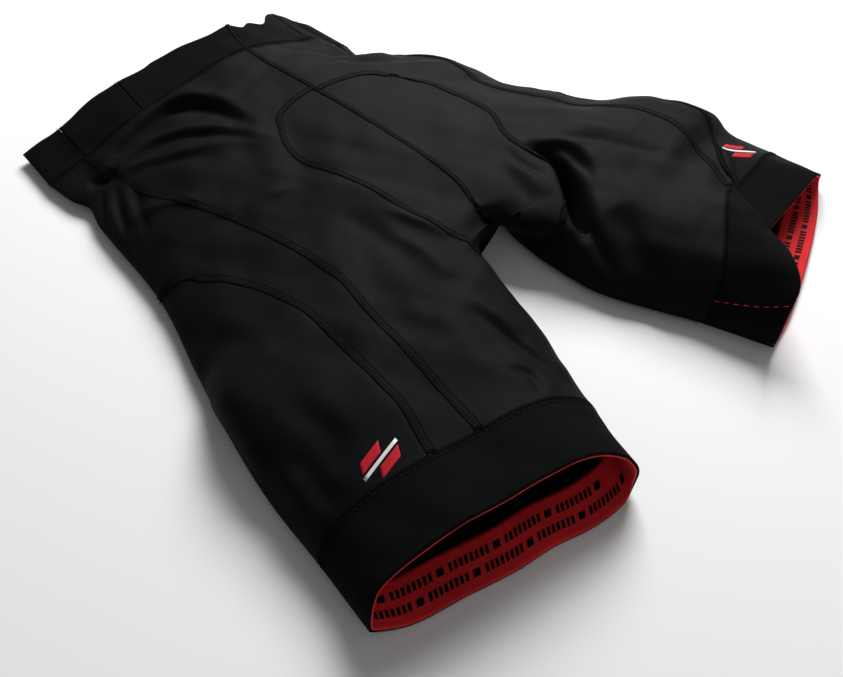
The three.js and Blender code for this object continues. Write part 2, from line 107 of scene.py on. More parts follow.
LEFT = {
    "sign": 1,
    "inner": BODY_CENTRE + [[5.25, 8, -34], [5.6, 17, -58], [6, 24, -94], [7, 57, -162], [8, 75, -207]],
    "outer": [[0, 84, 312], [1, 88, 262], [1.5, 84, 230], [1.78, 88, 213], [2, 122, 203],
              [2.5, 148, 155], [3, 155, 112], [4, 194, 45], [5, 236, -20],
              [6, 247, -60], [7, 254, -93], [8, 256, -136]],
    "height": [[0, 46], [1, 46], [3, 46], [5, 44], [6, 46], [7, 49], [8, 50]],
    "boxy": [[0, 2], [4, 2], [4.8, 4.5], [5.4, 4], [5.8, 2], [6.4, 1.6], [7.2, 1.6], [8, 2]],
    "skew": 0.28,
    "apex": 2.2,
    "shoulder": [2.42, 0.4],
    "gusset": [[2.42, 0.4], [2.65, 0.5], [2.9, 0.53], [3.2, 0.53], [3.5, 0.48], [3.9, 0.37],
               [4.2, 0.32], [4.6, 0.295], [4.95, 0.27], [5.2, 0.16], [5.45, 0.03], [8, 0.03]],
    "front": [[0, 0.88], [1, 0.88], [2, 0.88], [3, 0.8], [4, 0.79], [5, 0.75], [6, 0.66], [7, 0.5],
              [8, 0.5]],
    "arch_top": 3.3,
    "arch_shoulder": 3.55,
    "arch": [[0, 0.95], [3.55, 0.95], [4, 0.94], [5, 0.92], [5.6, 0.87], [6, 0.77], [6.35, 0.67],
             [6.7, 0.6], [7, 0.56], [8, 0.56]],
    "hem_top": [[0, 0], [0.12, 1], [0.2, 8], [0.36, 22], [0.5, 26], [0.76, 13], [1, 0]],
    "hem_under": [[0, 0], [0.2, 6], [0.5, 8], [0.8, 6], [1, 0]],
    "waist_pull": [[0, 0], [0.1, -9], [0.22, -3], [0.36, -8], [0.5, 6], [0.62, 12], [0.8, 10], [1, 0]],
    "undercut": [[0, 0, 0], [4.3, 0, 0], [5, 34, 14], [5.25, 12, 17], [5.6, 2, 8], [6, 0, 0],
                 [8, 0, 0]],
    "lip": [[0, 0, 0], [4.85, 0, 0], [5.05, 2, -12], [5.3, 6, -13], [5.55, 1, -4], [5.8, 0, 0],
            [8, 0, 0]],
    "badge": (213, -80),
}
SIDES = {"right": RIGHT, "left": LEFT}
BACK_SEAM = [[0, 0.72], [1, 0.72], [4, 0.62], [7, 0.5], [8, 0.5]]
ARCH_WRAP = 0.5  # how far the outer thigh panel reaches round under the leg

# Creases and ridges in the front: height (below zero is a valley), width to the left and to the
# right as one walks along, and the x and y of each point of the line.
RIGHT_FOLDS = [
    (3, 9, 4, -183, 251, -142, 257, -112, 262, -94, 258, -79, 245, -69, 215, -67, 172),
    (-5.5, 4.5, 9, -172, 243, -142, 250, -107, 254, -88, 243, -77, 222, -73, 190),
    (3, 7, 4, -177, 235, -146, 234, -126, 229, -109, 217, -93, 201, -80, 181, -66, 155),
    (-2.4, 4, 6, -140, 228, -120, 221, -105, 208, -91, 192, -79, 172),
    (2, 8, 4, -178, 232, -152, 219, -128, 202, -103, 186, -76, 160),
    (-1.4, 4, 8, -166, 221, -146, 207, -124, 190, -104, 172),
    (2, 6, 4, -192, 178, -177, 175, -158, 162, -145, 144),
    (1.5, 6, 5, -129, 114, -110, 116, -86, 105),
    (-1.6, 6, 6, -174, 121, -153, 124, -137, 120),
    (-4.5, 4, 6, -190, 243, -180, 236, -168, 229),
    (-2.2, 4, 4, -185, 228, -199, 203, -205, 182),
    (1.8, 3, 3, -180, 226, -193, 202, -201, 176),
    (-2, 4, 3, -176, 220, -187, 198, -199, 168),
    (1.6, 4, 4, -171, 216, -181, 194, -190, 170),
    (-1.8, 4, 5, -166, 208, -175, 188, -184, 165, -190, 148),
    (3, 6, 5, -58, 45, -49, 18, -42, -8),
    (-2, 8, 8, -82, 60, -78, 25, -80, -10),
    (2, 5, 6, -70, 22, -66, -8, -70, -36),
    (-3.2, 3, 7, -78, -62, -72, -100, -66, -140),
    (2, 4, 4, -70, -58, -64, -96),
    (-1.6, 4, 4, -86, -72, -85, -102),
    (-3, 3, 4, -94, -112, -86, -124, -93, -140),
    (-2.2, 8, 8, -212, -36, -205, -70, -216, -98),
    (1.8, 8, 8, -196, -50, -188, -92),
    (2.6, 5, 5, -236, -58, -240, -92, -236, -116),
    (-2.2, 5, 5, -226, -70, -229, -110),
    (-1.4, 10, 10, -150, 20, -160, -10, -158, -50),
    (1.8, 9, 9, -202, 60, -190, 30, -196, -10),
    (1.5, 9, 9, -110, -30, -100, -70, -106, -110),
]
LEFT_FOLDS = [
    ([-3, -14, -24, -31, -30, -18, 0], 8, 4,
     72, 30, 77, 10, 73, -10, 62, -27, 50, -42, 40, -56, 33, -70),
    (-5.5, 7, 4, 78, -4, 71, -18, 62, -32, 49, -50, 41, -66, 36, -84, 33, -104),
    (2.5, 5, 4, 82, 4, 77, -14, 68, -28, 56, -46),
    (-3.4, 4, 4, 78, 22, 90, 4, 88, -18, 80, -36),
    (2.4, 4, 4, 76, 30, 96, 12, 100, -8, 92, -30),
    (-3, 7, 6, 73, 32, 100, 14, 118, -10, 136, -44, 151, -81),
    (2.2, 6, 6, 78, 46, 104, 26, 124, 8, 146, -22),
    (-2.4, 5, 6, 74, 62, 84, 42, 109, 22, 130, 0),
    (1.6, 8, 8, 80, 92, 100, 70, 124, 50, 150, 30),
    (-4.5, 12, 12, 66, -66, 52, -104, 50, -134),
    (2.2, 12, 12, 92, -50, 84, -88, 92, -122),
    (-2.2, 10, 10, 130, -40, 116, -76, 110, -112),
    (2.6, 5, 6, 46, 22, 46, -6, 40, -24),
    (-2.2, 4, 4, 58, 34, 52, 14, 54, -8),
    (-1.8, 6, 6, 34, 22, 32, -6, 26, -26),
    (-4, 8, 6, 10, 268, 30, 240, 60, 226, 84, 214),
    (3, 6, 8, 20, 250, 48, 214, 84, 198),
    (3, 6, 6, 44, 282, 58, 250, 76, 232),
    (-3.4, 6, 6, 30, 220, 64, 192, 104, 184),
    (2.4, 7, 7, 60, 178, 90, 172, 124, 158),
    (-2, 7, 7, 88, 140, 116, 130, 142, 120),
]
FOLDS = {"right": RIGHT_FOLDS, "left": LEFT_FOLDS}
# Faint drag lines in the stretched cloth: direction, how fast they change along and across, height.
DRAG_LINES = ((math.radians(62), 0.009, 0.042, 2.6), (math.radians(118), 0.008, 0.05, 2.0),
              (math.radians(20), 0.01, 0.06, 1.4))
DRAG_SPREAD = 7  # sets the three kinds of line apart in the noise
# The front of the left leg stands up in a ridge along this line, and beyond it falls to a low shelf.
RIDGE = [(217, -28), (208, -48), (192, -68), (170, -91), (149, -112), (135, -139), (124, -161),
         (109, -187), (100, -204)]
RIDGE_HEIGHT = [[0, 27], [0.16, 31], [0.3, 37], [0.48, 43], [0.62, 46], [0.8, 48], [0.93, 50], [1, 50]]
SHELF_HEIGHT = 23.0
SHELF_DROP = 15.0
RIDGE_WIDTH = 15.0
RIDGE_START = (0.02, 0.4)  # shares of the ridge's length over which it rises
# Soft unevenness of the cloth: how fast it changes, and its height.
WAVES = ((0.016, 1.3), (0.045, 0.7))
FOLD_FADE = 0.12    # share of a deep crease's length over which it begins
FOLD_TAPER = 0.7    # power of the rise and fall of other folds
WAVE_POWER = 1.3
CLEAR_OF_BACK = (0, 9)  # room under the front over which folds take hold
ROOM_USED = 0.9         # the most of that room that a fold takes

# ---- Small helpers


def smooth(edge0, edge1, x):
    u = np.clip((x - edge0) / (edge1 - edge0), 0, 1)
    return u * u * (3 - 2 * u)


def unit(vectors):
    """The same directions with length one."""
    return vectors / np.maximum(np.linalg.norm(vectors, axis=-1, keepdims=True), 1e-9)


def facing(points):
    """The normals of a grid of points, of length one."""
    return unit(np.cross(np.gradient(points, axis=0), np.gradient(points, axis=1)))


def along(points, t, kinks=()):
    """A smooth line through rows of [station, values...], which may turn sharply at the kinks."""
    table = np.asarray(points, float)
    xs, ys = table[:, 0], table[:, 1:]
    t = np.asarray(t, float)
    i = np.clip(np.searchsorted(xs, t, side="right") - 1, 0, len(xs) - 2)
    h = (xs[i + 1] - xs[i])[..., None]
    u = (t - xs[i])[..., None] / h
    straight = np.diff(ys, axis=0) / np.diff(xs)[:, None]
    slope = np.zeros_like(ys)
    slope[1:-1] = (ys[2:] - ys[:-2]) / (xs[2:] - xs[:-2])[:, None]
    slope[0], slope[-1] = straight[0], straight[-1]
    sharp = np.isin(xs, kinks)
    before = np.where(sharp[i][..., None], straight[i], slope[i])
    after = np.where(sharp[i + 1][..., None], straight[i], slope[i + 1])
    return ((2 * u**3 - 3 * u**2 + 1) * ys[i] + (u**3 - 2 * u**2 + u) * h * before
            + (3 * u**2 - 2 * u**3) * ys[i + 1] + (u**3 - u**2) * h * after)


def distance_to_line(xy, line):
    """Distance in plan to a line of points, above zero on its left, and how far along it, 0 to 1."""
    line = np.asarray(line, float)
    lengths = np.linalg.norm(np.diff(line, axis=0), axis=1)
    starts = np.concatenate([[0], np.cumsum(lengths)])
    best = np.full(xy.shape[:-1], 1e9)
    place = np.zeros(xy.shape[:-1])
    for k in range(len(line) - 1):
        step = line[k + 1] - line[k]
        away = xy - line[k]
        u = np.clip((away @ step) / (step @ step), 0, 1)
        gap = np.linalg.norm(away - u[..., None] * step, axis=-1)
        left = np.where(step[0] * away[..., 1] - step[1] * away[..., 0] >= 0, 1.0, -1.0)
        closer = gap < np.abs(best)
        best = np.where(closer, gap * left, best)
        place = np.where(closer, (starts[k] + u * lengths[k]) / starts[-1], place)
    return best, place


def curved(line, count=40):
    """The same line with its corners rounded."""
    line = np.asarray(line, float)
    stations = np.arange(len(line))
    table = np.column_stack([stations, line])
    return along(table, np.linspace(0, len(line) - 1, count))


# ---- The garment's surface


def wrap_at(t):
    """How far a section wraps round towards the inseam: 0 on the body, 1 on the leg."""
    return smooth(WRAP_START, CROTCH, t)


def place_at_share(share, t):
    """The s of the point of the front that is this share of the way from the inner to the outer edge."""
    wrap = wrap_at(t)
    start = -np.arcsin(wrap)
    angle = np.arcsin(np.clip(share * (1 + wrap) - wrap, -1, 1))
    return (angle - start) / (math.pi / 2 - start)


def surface(side, s, t):
    """Points in millimetres. s runs 0..1 over the front to the side fold, and 1..2 back under it."""
    wrap = wrap_at(t)
    start = -np.arcsin(wrap)
    turn = math.pi / 2 - start
    on_top = s <= 1
    angle = np.where(on_top, start + turn * s, math.pi / 2 - turn * (s - 1))
    across = np.sin(angle)
    share = (across + wrap) / (1 + wrap)
    inner = along(side["inner"], t, INNER_KINKS)
    easy_line = [row for row in side["inner"] if not CROTCH <= row[0] < CROTCH + 1]
    easy_inner = along(easy_line, t, OUTER_KINKS)
    outer = along(side["outer"], t, OUTER_KINKS)
    shift = np.where(~on_top & (t < CROTCH), BACK_CENTRE_SHIFT * (1 - t / CROTCH), 0.0)
    shift = np.stack([shift, 0 * shift], -1)
    near_centre = ((1 - share) ** CROTCH_BLEND)[..., None]
    plan = easy_inner + shift + (outer - easy_inner - shift) * share[..., None]
    plan = plan + (inner - easy_inner) * near_centre

    down = unit(np.diff(np.array(side["inner"])[-2:, 1:], axis=0)[0])
    pull = np.where(on_top, -along(side["hem_top"], share)[..., 0],
                    along(side["hem_under"], share)[..., 0])
    plan = plan + (pull * smooth(*HEM_CURVE, t))[..., None] * down
    waves = along(side["waist_pull"], share)[..., 0] * (1 - smooth(0, WAIST_CURVE, t))
    plan[..., 1] += waves * np.where(on_top, 1, WAIST_UNDER)

    height = along(side["height"], t)[..., 0]
    power = along(side["boxy"], t)[..., 0]
    skew = side["skew"] * wrap
    crest = np.clip(np.abs(across + skew * (1 - across**2)), 0, 1)
    round_top = (1 - crest**power) ** (1 / power)
    slope_end, round_start, tent_power = TENT
    tent = 1 - np.clip(share, 0, 1) ** tent_power
    round_top = round_top + (tent - round_top) * (1 - smooth(slope_end, round_start, t))
    top = FOLD_HEIGHT + (height - FOLD_HEIGHT) * round_top
    beyond = np.maximum((np.abs(across) - FLAT_SHARE) / (1 - FLAT_SHARE), 0)
    under = FOLD_HEIGHT * (1 - np.sqrt(np.maximum(1 - beyond**2, 0)))
    level = np.where(on_top, top, under)
    low = np.clip(1 - (level - FOLD_HEIGHT) / (height - FOLD_HEIGHT), 0, 1)
    overhang = (27 / 4) * low * (1 - low) ** 2  # 1 at its most, a third of the way down
    lean = along(side["undercut"], t, UNDERCUT_KINKS) * low[..., None]
    lean = lean + along(side["lip"], t) * overhang[..., None]
    plan = plan + lean * ((1 - share) ** LEAN_BLEND)[..., None]
    return np.concatenate([plan, level[..., None]], -1)


def drop_beyond_ridge(points, on_top):
    """Stands the left leg's front up along the ridge and lets it fall to the shelf outside it."""
    gap, place = distance_to_line(points[..., :2], curved(RIDGE))
    strength = smooth(*RIDGE_START, place) * on_top
    ridge = along(RIDGE_HEIGHT, place)[..., 0]
    height = points[..., 2]
    inside = np.exp(-((gap / RIDGE_WIDTH) ** 2))
    height = height + (ridge - height) * inside * strength
    shelf = np.minimum(height, SHELF_HEIGHT)
    outside = smooth(0, SHELF_DROP, gap)
    points[..., 2] = height + (shelf - height) * outside * strength


def fold_heights(points, folds):
    """How far the folds raise or lower each point of the front."""
    lift = np.zeros(points.shape[:-1])
    for height, left, right, *line in folds:
        gap, place = distance_to_line(points[..., :2], curved(np.reshape(line, (-1, 2))))
        if isinstance(height, list):
            at = np.linspace(0, 1, len(height))
            amount = np.interp(place, at, height) * smooth(0, FOLD_FADE, place)
        else:
            amount = height * np.sin(np.clip(place, 0, 1) * math.pi) ** FOLD_TAPER
        width = np.where(gap > 0, left, right)
        lift += amount * np.exp(-((gap / width) ** 2))
    return lift


def crumple(points, lift, on_top):
    """Adds folds and the slight unevenness of lying cloth, without pressing it through the back."""
    flat = points.reshape(-1, 3)
    wave = np.array([sum(noise.noise(Vector(p) * pace) * height for pace, height in WAVES)
                     for p in flat])
    for angle, long, short, height in DRAG_LINES:
        turn = np.array([math.cos(angle), math.sin(angle)])
        down, across = flat[:, :2] @ turn, flat[:, :2] @ [-turn[1], turn[0]]
        layer = angle * DRAG_SPREAD
        strength = np.array([noise.noise(Vector((a * long, b * short, layer)))
                             for a, b in zip(down, across)])
        wave += height * np.sign(strength) * np.abs(strength) ** WAVE_POWER
    wave = wave.reshape(lift.shape)
    slope = facing(points)
    slope *= np.where(slope[..., 2:] * np.where(on_top, 1, -1)[..., None] < 0, -1.0, 1.0)
    room = np.maximum(points[..., 2] - FOLD_HEIGHT, 0)
    deep = lift < -DEEP
    move = np.where(on_top, (lift + wave) * smooth(*CLEAR_OF_BACK, room), 0.0)
    sideways = np.where(deep, 0.0, 1.0)[..., None] * (slope - [0, 0, 1])
    return points + np.maximum(move, -ROOM_USED * room)[..., None] * ([0, 0, 1] + sideways)


# ---- One grid per side, whose lines follow the seams

COLUMNS = (("gusset", 34), ("front", 46), ("arch", 24), ("arch_back", 36), ("back", 14), ("end", 36))
LINE_GAP, BACK_LINE_GAP = 0.02, 0.05  # the least between two lines of columns, as a part of s
ARCH_CROWN = 0.6  # where the arch of the outer thigh panel is highest, along its width
ROWS = ((WAIST_SEAM, 14), ("gusset", 44), ("arch", 26), (UPPER, 26), (CROTCH, 44), (GUSSET_END, 14),
        (LEG_SEAM, 46), (GRIPPER_TOP, 8), (HEM, 14))


class Grid:
    """Places, points and normals of one side, with the row and column numbers of its seams."""

    def __init__(self, name):
        self.name = name
        side = SIDES[name]
        self.side = side
        stops = {"gusset": side["shoulder"][0], "arch": side["arch_shoulder"]}
        rows, self.row = [0.0], {0: 0}
        for stop, count in ROWS:
            start, end = rows[-1], float(stops.get(stop, stop))
            for k in range(1, count + 1):
                u = k / count
                rows.append(start + (end - start) * (math.sin(u * math.pi / 2) if stop == CROTCH else u))
            self.row[stop] = len(rows) - 1
        base = np.array(rows)
        lines = [np.zeros_like(base), *self.seam_places(base), np.full_like(base, 2.0)]
        columns, self.column = [lines[0]], {"start": 0}
        for (stop, count), low, high in zip(COLUMNS, lines[:-1], lines[1:]):
            share = np.arange(1, count + 1) / count
            columns += [low + (high - low) * u for u in share]
            self.column[stop] = len(columns) - 1
        self.s = np.stack(columns, 1)
        self.t = np.repeat(base[:, None], self.s.shape[1], 1)
        self.raise_rows(base)
        points = surface(side, self.s, self.t)
        on_top = self.s <= 1
        if name == "left":
            drop_beyond_ridge(points, on_top)
        self.points = crumple(points, fold_heights(points, FOLDS[name]), on_top)
        self.finish()

    def seam_places(self, t):
        side = self.side
        gusset = place_at_share(along(side["gusset"], np.maximum(t, side["shoulder"][0]))[:, 0], t)
        front = place_at_share(along(side["front"], t)[:, 0], t)
        arch = np.maximum(place_at_share(along(side["arch"], t)[:, 0], t), front + LINE_GAP)
        arch_back = 1 + (1 - arch) * ARCH_WRAP
        back = 2 - place_at_share(along(BACK_SEAM, t)[:, 0], t)
        return gusset, front, arch, arch_back, np.maximum(back, arch_back + BACK_LINE_GAP)

    def raise_rows(self, base):
        """Bends the rows that end the gusset and the outer thigh panel into round arches."""
        side = self.side
        count = self.column["gusset"]
        across = np.clip(np.arange(self.s.shape[1]) / count, 0, 1)
        rise = (side["shoulder"][0] - side["apex"]) * np.sqrt(1 - across**2)
        self.t -= rise[None] * self.fade(base, WAIST_SEAM, side["shoulder"][0], side["arch_shoulder"])
        low, high = self.column["arch"], self.column["arch_back"]
        middle = low + (high - low) * ARCH_CROWN
        columns = np.arange(self.s.shape[1])
        across = np.where(columns < middle, (middle - columns) / (middle - low),
                          (columns - middle) / (high - middle))
        rise = (side["arch_shoulder"] - side["arch_top"]) * np.sqrt(1 - np.clip(across, 0, 1) ** 2)
        self.t -= rise[None] * self.fade(base, side["shoulder"][0], side["arch_shoulder"], UPPER)

    @staticmethod
    def fade(base, start, peak, end):
        up = np.clip((base - start) / (peak - start), 0, 1) ** 2
        down = np.clip((end - base) / (end - peak), 0, 1) ** 2
        return np.where(base < peak, up, down)[:, None]

    def finish(self):
        """Normals pointing out of the garment, and lengths over the cloth both ways."""
        points = self.points
        normals = facing(points) * self.side["sign"]
        leg = self.row[CROTCH]
        normals[leg:, 0] = normals[leg:, -1] = unit(normals[leg:, 0] + normals[leg:, -1])
        normals[:leg, 0, 0] = 0
        normals[:leg, 0] = unit(normals[:leg, 0])
        self.normals = normals
        self.across = np.linalg.norm(np.diff(points, axis=1), axis=2)
        self.down = np.linalg.norm(np.diff(points, axis=0), axis=2)
        u = np.pad(np.cumsum(self.across, 1), ((0, 0), (1, 0)))
        v = np.pad(np.cumsum(self.down, 0), ((1, 0), (0, 0)))
        self.uvs = np.stack([u, v], -1) * MM


# ---- Meshes


def to_frame(points):
    points = np.asarray(points, float)
    return np.stack([points[..., 0] - ORIGIN[0], points[..., 1] - ORIGIN[1], points[..., 2]], -1) * MM


def add_object(name, data):
    thing = bpy.data.objects.new(name, data)
    bpy.context.scene.collection.objects.link(thing)
    return thing


def set_uvs(mesh, uvs):
    layer = mesh.uv_layers.new(name="cloth")
    loops = np.empty(len(mesh.loops), int)
    mesh.loops.foreach_get("vertex_index", loops)
    layer.data.foreach_set("uv", np.asarray(uvs, float)[loops].ravel())


def make_object(name, vertices, faces, material, uvs=None, smooth_faces=True):
    """A piece from points in millimetres. Without uvs its plan is used."""
    mesh = bpy.data.meshes.new(name)
    mesh.from_pydata([tuple(v) for v in to_frame(vertices)], [], [tuple(int(i) for i in f) for f in faces])
    set_uvs(mesh, vertices[:, :2] * MM if uvs is None else uvs)
    mesh.materials.append(material)
    mesh.validate()
    mesh.polygons.foreach_set("use_smooth", [smooth_faces] * len(mesh.polygons))
    mesh.update()
    piece = add_object(name, mesh)
    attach(piece, "root")
    return piece


def sheet_from_grid(name, grid, blocks, material, thickness, depth):
    """A thick piece of cloth made of blocks of the grid: (first row, last row, first col, last col)."""
    rows, columns = grid.s.shape
    taken = np.zeros((rows - 1, columns - 1), bool)
    for r0, r1, c0, c1 in blocks:
        taken[r0:r1, c0:c1] = True
    quads = []
    for r, c in np.argwhere(taken):
        a = r * columns + c
        quad = [a, a + columns, a + columns + 1, a + 1]
        quads.append(quad if grid.side["sign"] > 0 else quad[::-1])
    quads = np.array(quads)
    used, flat = np.unique(quads, return_inverse=True)
    quads = flat.reshape(quads.shape)
    points = grid.points.reshape(-1, 3)[used]
    normals = grid.normals.reshape(-1, 3)[used]
    uvs = grid.uvs.reshape(-1, 2)[used]

    edges = {}  # in the end, those of only one quad
    for quad in quads.tolist():
        for a, b in zip(quad, quad[1:] + quad[:1]):
            if not edges.pop((b, a), False):
                edges[(a, b)] = True
    border = np.array(sorted({v for edge in edges for v in edge}))
    centres = np.zeros_like(points)
    counts = np.zeros(len(points))
    middle = points[quads].mean(1)
    for k in range(4):
        np.add.at(centres, quads[:, k], middle)
        np.add.at(counts, quads[:, k], 1)
    points = points.copy()
    points[border] += unit(centres[border] / counts[border, None] - points[border]) * EDGE_GAP

    outer = points - normals * depth
    inner = points - normals * (depth + thickness)
    count = len(points)
    faces = [list(q) for q in quads] + [[v + count for v in q[::-1]] for q in quads]
    faces += [[b, a, a + count, b + count] for a, b in edges]
    piece = make_object(name, np.vstack([outer, inner]), faces, material, np.vstack([uvs, uvs]))
    return piece


# ---- Materials


def new_material(name, color, roughness, sheen=0.0, specular=0.035):
    material = bpy.data.materials.new(name)
    material.use_nodes = True
    nodes, links = material.node_tree.nodes, material.node_tree.links
    shader = nodes["Principled BSDF"]
    shader.inputs["Base Color"].default_value = (*color, 1)
    shader.inputs["Roughness"].default_value = roughness
    shader.inputs["Sheen Weight"].default_value = sheen
    shader.inputs["Sheen Roughness"].default_value = 0.35
    shader.inputs["Specular IOR Level"].default_value = specular
    return material, nodes, links, shader


def math_node(nodes, links, operation, *values):
    """The result of one sum, whose values are numbers or the results of other nodes."""
    node = nodes.new("ShaderNodeMath")
    node.operation = operation
    for socket, value in zip(node.inputs, values):
        if isinstance(value, (int, float)):
            socket.default_value = value
        else:
            links.new(value, socket)
    return node.outputs[0]


ROW_HEIGHT, FUZZ_HEIGHT = 0.5, 1.5  # beside the ribs' height of 1
DARKER, LIGHTER = 0.85, 1.2         # the mottled colour beside the given one
GLOSSIER, DULLER = -0.05, 0.06      # the roughness beside the given one


def knit(name, color, roughness, sheen, rib, rib_strength, cross):
    """Fine knit: ribs and rows of loops as bump, with a mottled colour and gloss."""
    material, nodes, links, shader = new_material(name, color, roughness, sheen)

    def maths(operation, *values):
        return math_node(nodes, links, operation, *values)

    uv = nodes.new("ShaderNodeUVMap")
    uv.uv_map = "cloth"
    split = nodes.new("ShaderNodeSeparateXYZ")
    links.new(uv.outputs[0], split.inputs[0])
    wales = maths("SINE", maths("MULTIPLY", split.outputs[0], 2 * math.pi / rib))
    rows = maths("SINE", maths("MULTIPLY", split.outputs[1], 2 * math.pi / cross))
    loops = maths("ADD", wales, maths("MULTIPLY", rows, ROW_HEIGHT))
    coordinates = nodes.new("ShaderNodeTexCoord")

    def cloud(scale, detail):
        node = nodes.new("ShaderNodeTexNoise")
        node.inputs["Scale"].default_value = scale
        node.inputs["Detail"].default_value = detail
        links.new(coordinates.outputs["Object"], node.inputs["Vector"])
        return node

    fuzz = cloud(900, 3)
    height = maths("ADD", loops, maths("MULTIPLY", fuzz.outputs[0], FUZZ_HEIGHT))
    bump = nodes.new("ShaderNodeBump")
    bump.inputs["Strength"].default_value = rib_strength
    bump.inputs["Distance"].default_value = 0.00012
    links.new(height, bump.inputs["Height"])
    links.new(bump.outputs[0], shader.inputs["Normal"])
    patches = cloud(22, 5)
    ramp = nodes.new("ShaderNodeValToRGB")
    for stop, place, shade in zip(ramp.color_ramp.elements, (0.3, 0.75), (DARKER, LIGHTER)):
        stop.position = place
        stop.color = (*[c * shade for c in color], 1)
    links.new(patches.outputs[0], ramp.inputs[0])
    links.new(ramp.outputs[0], shader.inputs["Base Color"])
    gloss = nodes.new("ShaderNodeMapRange")
    gloss.inputs["To Min"].default_value = roughness + GLOSSIER
    gloss.inputs["To Max"].default_value = roughness + DULLER
    links.new(patches.outputs[0], gloss.inputs["Value"])
    links.new(gloss.outputs[0], shader.inputs["Roughness"])
    return material


# Name, colour, roughness, sheen, spacing of the ribs, strength of the bump, spacing of the rows.
STRETCH = knit("stretch_knit", (0.0052, 0.0052, 0.0055), 0.62, 0.006, 0.0007, 0.2, 0.0009)
SIDE = knit("side_knit", (0.0042, 0.0047, 0.0060), 0.64, 0.006, 0.0007, 0.25, 0.0009)
ELASTIC = knit("band_elastic", (0.0036, 0.0036, 0.0041), 0.85, 0.006, 0.0013, 0.4, 0.0008)
RED = knit("gripper_red", (0.72, 0.03, 0.036), 0.62, 0.08, 0.0012, 0.5, 0.0012)
THREAD = knit("thread", (0.0056, 0.0057, 0.0062), 0.66, 0.006, 0.0005, 0.2, 0.0005)
NEEDLE_THREAD = knit("needle_thread", (0.0016, 0.0016, 0.0018), 0.8, 0.0, 0.0005, 0.2, 0.0005)
RED_THREAD = knit("red_thread", (0.4, 0.02, 0.025), 0.5, 0.1, 0.0005, 0.35, 0.0005)
PRINT = knit("silicone_print", (0.006, 0.006, 0.007), 0.35, 0.0, 0.001, 0.1, 0.0013)
BADGE_RED = knit("badge_red", (0.5, 0.02, 0.03), 0.4, 0.0, 0.001, 0.12, 0.0013)
BADGE_WHITE = knit("badge_white", (0.75, 0.75, 0.76), 0.45, 0.0, 0.001, 0.12, 0.0013)
PAD = knit("pad_cover", (0.05, 0.053, 0.06), 0.85, 0.1, 0.0018, 0.6, 0.0018)
LABEL = knit("label_white", (0.7, 0.69, 0.66), 0.8, 0.2, 0.0006, 0.35, 0.0006)

# ---- The garment's grids

grids = {name: Grid(name) for name in SIDES}

# ---- Panels

BAND_JOIN = 20  # grid columns from the gusset's edge to the join in the front of the waistband


def cloth_panels(grid):
    row, col = grid.row, grid.column
    top, leg = row[WAIST_SEAM], row[LEG_SEAM]
    waistband_split = col["gusset"] + BAND_JOIN
    layout = {
        "gusset_panel": (STRETCH, "stretch_fabric", [(row["gusset"], row[GUSSET_END], 0, col["gusset"])]),
        "front_panel": (STRETCH, "stretch_fabric",
                        [(top, row["gusset"], 0, col["gusset"]), (top, leg, col["gusset"], col["front"]),
                         (row[GUSSET_END], leg, 0, col["gusset"])]),
        "side_panel": (SIDE, "side_fabric",
                       [(top, leg, col["front"], col["arch"]),
                        (top, row["arch"], col["arch"], col["arch_back"]),
                        (top, leg, col["arch_back"], col["back"])]),
        "outer_thigh_panel": (SIDE, "side_fabric", [(row["arch"], leg, col["arch"], col["arch_back"])]),
        "back_panel": (STRETCH, "stretch_fabric", [(top, leg, col["back"], col["end"])]),
        "waistband_front": (ELASTIC, "band_elastic", [(0, top, 0, waistband_split)]),
        "waistband_hip": (ELASTIC, "band_elastic", [(0, top, waistband_split, col["front"])]),
        "waistband_back": (ELASTIC, "band_elastic", [(0, top, col["front"], col["end"])]),
        "leg_band": (ELASTIC, "band_elastic", [(leg, row[HEM], 0, col["end"])]),
        "gripper": (RED, "red_gripper", [(row[GRIPPER_TOP], row[HEM], 0, col["end"])]),
        "waist_elastic": (ELASTIC, "band_elastic", [(1, top - 1, 0, col["end"])]),
    }
    replaced = {"side_panel": ["side_panel_front", "side_panel_back"], "gripper": ["leg_gripper"]}
    for name, (material, slot, blocks) in layout.items():
        thickness, depth = BAND if "band" in name else FABRIC, 0.0
        if name in ("gripper", "waist_elastic"):
            thickness, depth = GRIPPER, BAND + LINING_GAP
        piece = sheet_from_grid(f"{name}_cloth_{grid.name}", grid, blocks, material, thickness, depth)
        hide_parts(*[f"{node}_{grid.name}" for node in replaced.get(name, [name])])


for grid in grids.values():
    cloth_panels(grid)

# ---- Seams


def resampled(points, normals, step):
    """The same line with evenly spaced places, and the directions along and across it."""
    lengths = np.concatenate([[0], np.cumsum(np.linalg.norm(np.diff(points, axis=0), axis=1))])
    keep = np.concatenate([[True], np.diff(lengths) > 1e-6])
    lengths, points, normals = lengths[keep], points[keep], normals[keep]
    places = np.arange(0, lengths[-1], step)
    line = np.stack([np.interp(places, lengths, points[:, k]) for k in range(3)], 1)
    out = unit(np.stack([np.interp(places, lengths, normals[:, k]) for k in range(3)], 1))
    ahead = unit(np.gradient(line, axis=0))
    return line, out, ahead, unit(np.cross(out, ahead))


def ribbon(line, out, side, profile):
    """Vertices and faces of a closed strip whose section is a loop of (across, height)."""
    count = len(profile)
    vertices = np.concatenate([line[:, None] + side[:, None] * a + out[:, None] * h
                               for a, h in profile], 1).reshape(-1, 3)
    faces = []
    for k in range(len(line) - 1):
        for j in range(count):
            a, b = k * count + j, k * count + (j + 1) % count
            faces.append([a, b, b + count, a + count])
    faces.append(list(range(count))[::-1])
    faces.append([(len(line) - 1) * count + j for j in range(count)])
    return vertices, faces


